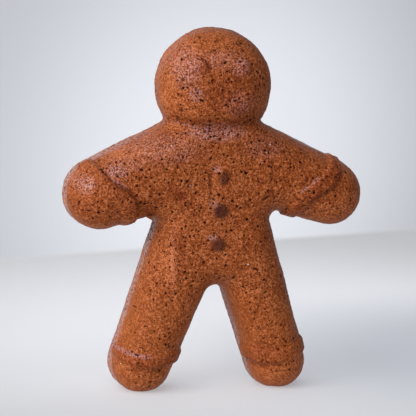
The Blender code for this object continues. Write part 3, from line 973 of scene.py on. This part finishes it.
def noise(tree, place, size, detail=2.0, roughness=0.5, colour=False):
    """Noise of a size in millimetres, as a number or a colour about 0.5."""
    frequency = calc(tree, "DIVIDE", 1.0, size) if isinstance(size, bpy.types.NodeSocket) else 1.0 / size
    sockets = {"Vector": place, "Scale": frequency, "Detail": detail, "Roughness": roughness}
    node = add_node(tree, "ShaderNodeTexNoise", sockets, noise_dimensions="3D")
    return node.outputs["Color" if colour else 0]


def remap(tree, value, low, high, to_low=0.0, to_high=1.0):
    """A value's range changed smoothly to another."""
    sockets = {"Value": value, "From Min": low, "From Max": high, "To Min": to_low, "To Max": to_high}
    return add_node(tree, "ShaderNodeMapRange", sockets, interpolation_type="SMOOTHSTEP").outputs["Result"]


def blend(tree, share, first, second, kind="MIX"):
    """Two colours mixed, each a socket or three numbers."""
    node = add_node(tree, "ShaderNodeMix", {"Factor": share}, data_type="RGBA", blend_type=kind,
                    clamp_factor=True)
    sockets = [socket for socket in node.inputs if socket.type == "RGBA"]
    for socket, value in zip(sockets, (first, second)):
        feed(socket, value if isinstance(value, bpy.types.NodeSocket) else opaque(value))
    return next(socket for socket in node.outputs if socket.type == "RGBA")


def new_group(name, kind, inputs, output):
    """An empty node group with named sockets. Gives the group, its inputs and its end socket."""
    group = bpy.data.node_groups.new(name, kind)
    for label, socket_kind, default in inputs:
        socket = group.interface.new_socket(
            name=label, in_out="INPUT", socket_type="NodeSocket" + socket_kind)
        if default is not None:
            socket.default_value = default
    label, socket_kind = output
    group.interface.new_socket(name=label, in_out="OUTPUT", socket_type="NodeSocket" + socket_kind)
    entry = group.nodes.new("NodeGroupInput")
    leave = group.nodes.new("NodeGroupOutput")
    return group, {socket.name: socket for socket in entry.outputs if socket.name}, leave.inputs[0]


def pore_field(kind):
    """A node group that scatters round pores of uneven size through the crumb.

    It is made once for shading and once for Geometry Nodes, from the same nodes, so the pores' painted
    shade falls on their own hollows.
    """
    inputs = [("Place", "Vector", None), ("Spacing", "Float", 1.6), ("Least", "Float", 0.1),
              ("Most", "Float", 0.34), ("Share", "Float", 0.8), ("Softness", "Float", 0.4)]
    group, entry, leave = new_group("pore_field_" + kind[:4].lower(), kind, inputs, ("Pore", "Float"))
    inverse = calc(group, "DIVIDE", 1.0, entry["Spacing"])
    spaced = calc_vector(group, "SCALE", entry["Place"], scale=inverse)
    cells = add_node(group, "ShaderNodeTexVoronoi", {"Vector": spaced, "Scale": 1.0},
                     voronoi_dimensions="3D", feature="F1")
    parts = add_node(group, "ShaderNodeSeparateXYZ", {0: cells.outputs["Color"]})
    size = times(group, parts.outputs[0], parts.outputs[0])
    span = calc(group, "SUBTRACT", entry["Most"], entry["Least"])
    radius = calc(group, "MULTIPLY_ADD", size, span, entry["Least"])
    inner = times(group, radius, calc(group, "SUBTRACT", 1.0, entry["Softness"]))
    pore = remap(group, cells.outputs["Distance"], radius, inner)
    present = calc(group, "LESS_THAN", parts.outputs[1], entry["Share"])
    feed(leave, times(group, pore, present))
    return group


def use_group(tree, group, **values):
    """Places a node group in a tree and feeds its inputs. Gives its first output."""
    kind = "ShaderNodeGroup" if tree.bl_idname == "ShaderNodeTree" else "GeometryNodeGroup"
    return add_node(tree, kind, values, node_tree=group).outputs[0]


def warped(tree, place):
    """Places shifted a little by noise, so that the pores aren't round."""
    bend = noise(tree, place, WARP_SIZE, 1.0, colour=True)
    shift = calc_vector(tree, "SUBTRACT", bend, (HALF, HALF, HALF))
    return calc_vector(tree, "ADD", place, calc_vector(tree, "SCALE", shift, scale=WARP_REACH))


def own_number(tree, name):
    """One of a mesh's own numbers, in Geometry Nodes."""
    return add_node(tree, "GeometryNodeInputNamedAttribute", {"Name": name}, data_type="FLOAT").outputs[0]


def finish_tree(tree, geometry, material, leave):
    """Ends a Geometry Nodes tree: real meshes with their material."""
    real = add_node(tree, "GeometryNodeRealizeInstances", {"Geometry": geometry})
    dressed = add_node(tree, "GeometryNodeSetMaterial", {"Geometry": real.outputs[0], "Material": material})
    feed(leave, dressed.outputs[0])


def crumb_surface():
    """Geometry Nodes that swell, roughen and pit the crust, and keep where each point was."""
    inputs = [("Geometry", "Geometry", None), ("Unevenness", "Float", 0.2),
              ("Unevenness Size", "Float", 8.0), ("Grain Height", "Float", 0.06),
              ("Grain Size", "Float", 1.3), ("Pore Spacing", "Float", 1.6), ("Pore Depth", "Float", 0.2),
              ("Pattern Shift", "Vector", None), ("Material", "Material", None)]
    tree, entry, leave = new_group("crumb_surface", "GeometryNodeTree", inputs, ("Geometry", "Geometry"))
    position = tree.nodes.new("GeometryNodeInputPosition").outputs[0]
    scaled = calc_vector(tree, "SCALE", position, scale=1.0 / MM)
    place = calc_vector(tree, "ADD", scaled, entry["Pattern Shift"])
    keep = add_node(tree, "GeometryNodeStoreNamedAttribute",
                    {"Geometry": entry["Geometry"], "Name": "crumb_place", "Value": place},
                    data_type="FLOAT_VECTOR", domain="POINT")
    swell = calc(tree, "SUBTRACT", noise(tree, place, entry["Unevenness Size"], *SWELL_NOISE), HALF)
    grain = calc(tree, "SUBTRACT", noise(tree, place, entry["Grain Size"], *GRAIN_NOISE), HALF)
    swell = times(tree, swell, times(tree, entry["Unevenness"], NOISE_SPAN))
    grain = times(tree, grain, times(tree, entry["Grain Height"], NOISE_SPAN))
    pores = use_group(tree, pore_field("GeometryNodeTree"), Place=warped(tree, place),
                      Spacing=entry["Pore Spacing"], Softness=HOLLOW_SOFTNESS, **PORES)
    sunk = times(tree, times(tree, pores, own_number(tree, "porous")), entry["Pore Depth"])
    height = times(tree, calc(tree, "SUBTRACT", calc(tree, "ADD", swell, grain), sunk), MM)
    normal = tree.nodes.new("GeometryNodeInputNormal").outputs[0]
    offset = calc_vector(tree, "SCALE", normal, scale=height)
    push = add_node(tree, "GeometryNodeSetPosition", {"Geometry": keep.outputs[0], "Offset": offset})
    parts = add_node(tree, "ShaderNodeSeparateXYZ", {0: position}).outputs
    joined = add_node(tree, "ShaderNodeCombineXYZ",
                      {0: parts[0], 1: parts[1], 2: calc(tree, "MAXIMUM", parts[2], 0.0)})
    stand = add_node(tree, "GeometryNodeSetPosition",
                     {"Geometry": push.outputs[0], "Position": joined.outputs[0]})
    finish_tree(tree, stand.outputs[0], entry["Material"], leave)
    return tree


def run_tree(piece, tree, **values):
    """Puts a Geometry Nodes tree on a piece, sets its inputs and turns the result into a plain mesh."""
    modifier = piece.modifiers.new(tree.name, "NODES")
    modifier.node_group = tree
    for item in tree.interface.items_tree:
        label = item.name.replace(" ", "_").lower()
        if item.item_type == "SOCKET" and item.in_out == "INPUT" and label in values:
            modifier[item.identifier] = values.pop(label)
    if values:
        raise RuntimeError(f"the tree {tree.name} has no input named {sorted(values)}")
    return settle(piece)


def read_attribute(tree, name):
    """The node that reads one of the crust's attributes, in a material."""
    return add_node(tree, "ShaderNodeAttribute", attribute_type="GEOMETRY", attribute_name=name)


def new_material(name, finish):
    """A material with a Principled BSDF and the finish that is the same all over."""
    material = bpy.data.materials.new(name)
    material.use_nodes = True
    shader = material.node_tree.nodes["Principled BSDF"]
    for label, value in finish.items():
        shader.inputs[label].default_value = value
    return material, material.node_tree, shader


def crust_material(colours, crumb):
    """Browned crust: granular crumb, pores and pits, smooth orange edges and burnt places, with painted
    light, painted glints on glossy places and painted shade in creases and hollows.
    """
    material, tree, shader = new_material("browned_crust", CRUST_FINISH)
    place = read_attribute(tree, "crumb_place").outputs["Vector"]
    porous, hollow, burnt, glazed, creased, stained, pale, side, torn = (
        read_attribute(tree, name).outputs["Fac"]
        for name in ("porous", "hollow", "burnt", "glazed", "creased", "stained", "pale", "side", "torn"))
    bent = warped(tree, place)
    field = pore_field("ShaderNodeTree")
    pores = use_group(tree, field, Place=bent, Spacing=crumb.pore_cell / MM,
                      Softness=PORE_SOFTNESS, **PORES)
    fine_pores = use_group(tree, field, Place=calc_vector(tree, "ADD", bent, FINE_PORE_SHIFT), **FINE_PORES)
    specks = use_group(tree, field, Place=calc_vector(tree, "ADD", bent, SPECK_SHIFT), **SPECKS)
    layers = [noise(tree, place, *layer[:3]) for layer in COLOUR_NOISE]
    grain, fleck = layers[2:]
    slow, patchy, grainy, flecked = (
        calc(tree, "MULTIPLY_ADD", value, layer[3], -HALF * layer[3])
        for value, layer in zip(layers, COLOUR_NOISE))
    crumbly = times(tree, calc(tree, "ADD", grainy, flecked), remap(tree, porous, *GRAIN_BY_POROUS))
    # The pale places add painted light to the tone
    tone = calc(tree, "MULTIPLY_ADD", pale, PAINTED_LIGHT_GAIN, calc(tree, "ADD", slow, patchy))
    tone = calc(tree, "ADD", tone, crumbly)
    shine = times(tree, glazed, remap(tree, fleck, *SHINE_BY_FLECK))
    dust_and_painted_sheen = remap(tree, noise(tree, place, *DUST_AND_SHEEN_NOISE), *DUST_AND_SHEEN_RANGE)
    ragged = remap(tree, noise(tree, place, *TORN_NOISE), *TORN_RANGE)
    colour = blend(tree, porous, colours.edge, colours.mid)
    for share, laid_on, kind in (
            # Dust and painted sheen on the side wall
            (times(tree, side, dust_and_painted_sheen), colours.side, "MIX"),
            (calc(tree, "MULTIPLY", tone, 1.0, clamp=True), colours.light, "MIX"),
            (calc(tree, "MULTIPLY", tone, -DARK_GAIN, clamp=True), colours.dark, "MIX"),
            (times(tree, specks, times(tree, porous, SPECK_STRENGTH)), colours.light, "MIX"),
            # Red stains and the painted shade beside the jacket fold
            (stained, STAIN_AND_SHADE_TINT, "MULTIPLY"),
            # Painted glint: lilac highlight flecks on the glossy places
            (shine, colours.gloss_and_painted_glint, "MIX"),
            # Painted shade in the creases
            (times(tree, creased, remap(tree, grain, *CREASE_BY_GRAIN)), colours.dark, "MIX"),
            # Painted shade in the fine pores and the pores
            (times(tree, fine_pores, remap(tree, porous, *FINE_BY_POROUS)), colours.pore, "MIX"),
            (times(tree, pores, remap(tree, porous, *PORE_BY_POROUS)), colours.pore, "MIX"),
            (times(tree, burnt, remap(tree, grain, *BURNT_BY_GRAIN)), colours.button, "MIX"),
            # Painted shade at the bottom of the pits
            (hollow, colours.pit, "MIX"),
            (torn, blend(tree, ragged, colours.pore, colours.side), "MIX")):
        colour = blend(tree, share, colour, laid_on, kind)
    feed(shader.inputs["Base Color"], colour)
    rough = calc(tree, "MULTIPLY_ADD", grain, *GRAIN_ROUGHNESS)
    rough = calc(tree, "MULTIPLY_ADD", glazed, -GLAZE_SMOOTHING, rough)
    rough = calc(tree, "MAXIMUM", rough, times(tree, hollow, PIT_ROUGHNESS))
    feed(shader.inputs["Roughness"], calc(tree, "MAXIMUM", rough, times(tree, pores, PORE_ROUGHNESS)))
    feed(shader.inputs["Coat Weight"], times(tree, shine, SHINE_COAT))
    lumps = calc(tree, "MULTIPLY_ADD", grain, GRAIN_BUMP, times(tree, fleck, FLECK_BUMP))
    dents = times(tree, times(tree, fine_pores, porous), FINE_PORE_BUMP)
    dents = calc(tree, "MULTIPLY_ADD", times(tree, pores, porous), PORE_BUMP, dents)
    bump = add_node(tree, "ShaderNodeBump",
                    {"Strength": 1.0, "Distance": MM, "Height": calc(tree, "SUBTRACT", lumps, dents)})
    feed(shader.inputs["Normal"], bump.outputs["Normal"])
    return material


def sugar_material(colours):
    """White sugar grains."""
    material, tree, shader = new_material("sugar_grain", {"Roughness": SUGAR_ROUGHNESS})
    coordinates = tree.nodes.new("ShaderNodeTexCoord").outputs["Object"]
    cloud = noise(tree, calc_vector(tree, "SCALE", coordinates, scale=1.0 / MM), SUGAR_CLOUD)
    shade = [SUGAR_SHADE * part for part in colours.sugar]
    feed(shader.inputs["Base Color"], blend(tree, cloud, colours.sugar, shade))
    return material


def nearness(tree, coordinates, middle, near, far):
    """1 near a place, 0 far from it."""
    node = add_node(tree, "ShaderNodeVectorMath", {0: coordinates, 1: middle}, operation="DISTANCE")
    return remap(tree, node.outputs["Value"], near, far, 1.0, 0.0)


def stage_material(name, colour):
    """Pale paper with painted pools of light and shade, lit and glowing a little as painted light. It is
    see-through from behind.
    """
    material, tree, shader = new_material(name, STAGE_FINISH)
    coordinates = tree.nodes.new("ShaderNodeTexCoord").outputs["Object"]
    floor = blend(tree, nearness(tree, coordinates, *FLOOR_GLOW), FLOOR_EDGE, FLOOR_MIDDLE)
    floor = blend(tree, nearness(tree, coordinates, *FLOOR_SHADE), floor, FLOOR_PAINTED_SHADE_TINT)
    wall = blend(tree, nearness(tree, coordinates, *WALL_GLOW), WALL_EDGE, WALL_MIDDLE)
    height = add_node(tree, "ShaderNodeSeparateXYZ", {0: coordinates}).outputs[2]
    shades = blend(tree, remap(tree, height, 0.0, WALL_FROM), floor, wall)
    paper = blend(tree, 1.0, shades, colour, "MULTIPLY")
    feed(shader.inputs["Base Color"], blend(tree, 1.0, paper, [STAGE_MATT] * 3, "MULTIPLY"))
    # Painted glow: the paper gives off light though it is no lamp
    feed(shader.inputs["Emission Color"], paper)
    seen_from_behind = tree.nodes.new("ShaderNodeNewGeometry").outputs["Backfacing"]
    clear = tree.nodes.new("ShaderNodeBsdfTransparent").outputs[0]
    either = add_node(tree, "ShaderNodeMixShader", {0: seen_from_behind, 1: shader.outputs[0], 2: clear})
    leave = next(node for node in tree.nodes if node.type == "OUTPUT_MATERIAL")
    feed(leave.inputs["Surface"], either.outputs[0])
    return material


def sugar_scatter():
    """Geometry Nodes that put a faceted grain on each point, of the point's own size."""
    inputs = [("Geometry", "Geometry", None), ("Seed", "Int", 3), ("Material", "Material", None)]
    tree, entry, leave = new_group("sugar_scatter", "GeometryNodeTree", inputs, ("Geometry", "Geometry"))
    points = add_node(tree, "GeometryNodeMeshToPoints", {"Mesh": entry["Geometry"]})
    grain = add_node(tree, "GeometryNodeMeshIcoSphere", {"Radius": 1.0, "Subdivisions": 2})
    size = own_number(tree, "grain_size")
    turn = add_node(tree, "FunctionNodeRandomValue", data_type="FLOAT_VECTOR")
    turn.inputs["Max"].default_value = (math.tau, math.tau, math.tau)
    feed(turn.inputs["Seed"], entry["Seed"])
    upright, deep = (times(tree, size, share) for share in SUGAR_SQUASH)
    squash = add_node(tree, "ShaderNodeCombineXYZ", {0: size, 1: upright, 2: deep})
    scatter = add_node(tree, "GeometryNodeInstanceOnPoints",
                       {"Points": points.outputs[0], "Instance": grain.outputs["Mesh"],
                        "Rotation": turn.outputs[0], "Scale": squash.outputs[0]})
    finish_tree(tree, scatter.outputs[0], entry["Material"], leave)
    return tree


class GINGERBREAD_OT_crust(Operator):
    """Bake the crust: its form, relief, pits, crumb and browned finish"""

    bl_idname = "gingerbread.crust"
    bl_label = "Bake the crust"

    def execute(self, context):
        scene = context.scene
        crumb = scene.gingerbread_crumb
        piece = put_on_stage("gingerbread_crust", shaped_crust(scene.gingerbread_form, crumb))
        run_tree(piece, crumb_surface(), unevenness=crumb.unevenness / MM,
                 unevenness_size=crumb.unevenness_size / MM, grain_height=crumb.grain_height / MM,
                 grain_size=crumb.grain_size / MM, pore_spacing=crumb.pore_cell / MM,
                 pore_depth=crumb.pore_depth / MM,
                 pattern_shift=tuple(crumb.seed * step for step in SEED_SHIFT),
                 material=crust_material(scene.gingerbread_colours, crumb))
        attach(piece, BODY)
        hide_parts(COOKIE_NODE)
        return {"FINISHED"}


class GINGERBREAD_OT_sugar(Operator):
    """Stick the few sugar grains to the crust"""

    bl_idname = "gingerbread.sugar"
    bl_label = "Stick the sugar grains"

    def execute(self, context):
        crust = bpy.data.objects.get("gingerbread_crust")
        if crust is None:
            raise RuntimeError("bake the crust before the sugar grains")
        tree = BVHTree.FromObject(crust, context.evaluated_depsgraph_get())
        in_front = FRAME_BOUNDS[0][1] - SUGAR_START
        places = []
        for x, z, size in SUGAR_GRAINS:
            hit = tree.ray_cast(Vector((x * MM, in_front, z * MM)), Vector((0.0, 1.0, 0.0)))[0]
            if hit is None:
                raise RuntimeError("a sugar grain lies beside the crust")
            places.append(hit + Vector((0.0, SUGAR_SINK * size * MM, 0.0)))
        mesh = bpy.data.meshes.new("sugar_grains")
        mesh.from_pydata(places, [], [])
        store_number(mesh, "grain_size", [size * MM for _, _, size in SUGAR_GRAINS])
        piece = put_on_stage("sugar_grains", mesh)
        run_tree(piece, sugar_scatter(), seed=context.scene.gingerbread_crumb.seed,
                 material=sugar_material(context.scene.gingerbread_colours))
        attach(piece, BODY)
        return {"FINISHED"}


class GINGERBREAD_OT_studio(Operator):
    """Lay the floor and the backdrop, and set the lights and the camera"""

    bl_idname = "gingerbread.studio"
    bl_label = "Set the studio"

    def execute(self, context):
        studio = context.scene.gingerbread_studio
        lay_stage(studio)
        set_lights(context.scene, studio)
        set_camera(context.scene)
        context.scene.view_settings.view_transform = "Standard"
        context.scene.view_settings.look = "None"
        return {"FINISHED"}


def lay_stage(studio):
    """Floor, cove and backdrop as one curved sheet, with more floor behind the backdrop."""
    along = Vector((math.cos(BACKDROP_TURN), math.sin(BACKDROP_TURN), 0.0))
    back = Vector((-math.sin(BACKDROP_TURN), math.cos(BACKDROP_TURN), 0.0))
    profile = [(-FLOOR_REACH, 0.0)]
    for step in range(COVE_STEPS + 1):
        angle = math.pi / 2.0 * step / COVE_STEPS
        profile.append((COVE_RADIUS * (math.sin(angle) - 1.0), COVE_RADIUS * (1.0 - math.cos(angle))))
    profile.append((0.0, BACKDROP_HEIGHT))
    first = 2 * len(profile)
    corners = []
    for reach, height in profile + [(0.0, 0.0), (FLOOR_REACH, 0.0)]:
        for side in (-STAGE_HALF_WIDTH, STAGE_HALF_WIDTH):
            corners.append(BACKDROP_FOOT + side * along + reach * back + Vector((0.0, 0.0, height)))
    faces = [(i, i + 1, i + 3, i + 2) for i in (*range(0, first - 2, 2), first)]
    mesh = bpy.data.meshes.new("stage_sheet")
    mesh.from_pydata(corners, [], faces)
    mesh.shade_smooth()
    sheet = put_on_stage("stage_sheet", mesh, stage_material("pale_stage", studio.floor))


def set_lights(scene, studio):
    """Faint surroundings and four soft lights: in front, at the left, above and a small one."""
    world = bpy.data.worlds.new("pale_surroundings")
    world.use_nodes = True
    background = world.node_tree.nodes["Background"]
    background.inputs["Color"].default_value = opaque(studio.surroundings)
    background.inputs["Strength"].default_value = studio.surroundings_strength
    scene.world = world
    for name, (place, width, height, colour) in LIGHTS.items():
        light = bpy.data.lights.new(name + "_light", "AREA")
        light.shape = "RECTANGLE"
        light.size = width
        light.size_y = height
        light.energy = getattr(studio, name + "_power")
        light.color = colour
        lamp = bpy.data.objects.new(name + "_light", light)
        lamp.location = place
        lamp.rotation_euler = (Vector(LIGHT_TARGET) - Vector(place)).to_track_quat("-Z", "Y").to_euler()
        scene.collection.objects.link(lamp)


def set_camera(scene):
    """The camera, from the measured view."""
    level = math.cos(VIEW_TILT)
    back = Vector((-math.sin(VIEW_TURN) * level, -math.cos(VIEW_TURN) * level, math.sin(VIEW_TILT)))
    right = Vector((math.cos(VIEW_TURN), -math.sin(VIEW_TURN), 0.0))
    up = back.cross(right)
    rolled_right = right * math.cos(VIEW_ROLL) + up * math.sin(VIEW_ROLL)
    rolled_up = up * math.cos(VIEW_ROLL) - right * math.sin(VIEW_ROLL)
    lens = bpy.data.cameras.new("photo_camera")
    lens.sensor_fit = "HORIZONTAL"
    lens.sensor_width = SENSOR
    lens.lens = VIEW_LENS
    lens.clip_start, lens.clip_end = CLIP
    camera = bpy.data.objects.new("photo_camera", lens)
    turned = Matrix((rolled_right, rolled_up, back)).transposed().to_4x4()
    camera.matrix_world = Matrix.Translation(VIEW_TARGET + VIEW_DISTANCE * back) @ turned
    scene.collection.objects.link(camera)
    scene.camera = camera


class GINGERBREAD_PT_sidebar(Panel):
    """Lists the biscuit's operators and settings in the 3D view's sidebar"""

    bl_idname = "GINGERBREAD_PT_sidebar"
    bl_label = "Gingerbread man"
    bl_space_type = "VIEW_3D"
    bl_region_type = "UI"
    bl_category = "Gingerbread"

    def draw(self, context):
        layout = self.layout
        for operator in OPERATORS:
            layout.operator(operator.bl_idname)
        for name, settings in SETTINGS.items():
            column = layout.column(align=True)
            column.label(text=settings.__doc__)
            for key in settings.__annotations__:
                column.prop(getattr(context.scene, name), key)


OPERATORS = (GINGERBREAD_OT_crust, GINGERBREAD_OT_sugar, GINGERBREAD_OT_studio)
SETTINGS = {"gingerbread_form": GingerbreadForm, "gingerbread_crumb": GingerbreadCrumb,
            "gingerbread_colours": GingerbreadColours, "gingerbread_studio": GingerbreadStudio}
CLASSES = (*SETTINGS.values(), *OPERATORS, GINGERBREAD_PT_sidebar)


def register():
    """Registers the settings, the operators and the panel."""
    for part in CLASSES:
        bpy.utils.register_class(part)
    for name, settings in SETTINGS.items():
        setattr(bpy.types.Scene, name, PointerProperty(type=settings))


def unregister():
    """Takes away what register added."""
    for name in SETTINGS:
        delattr(bpy.types.Scene, name)
    for part in reversed(CLASSES):
        bpy.utils.unregister_class(part)


def main():
    """Registers the add-on and builds every piece."""
    register()
    bpy.ops.gingerbread.crust()
    bpy.ops.gingerbread.sugar()
    bpy.ops.gingerbread.studio()


if __name__ == "__main__":
    main()
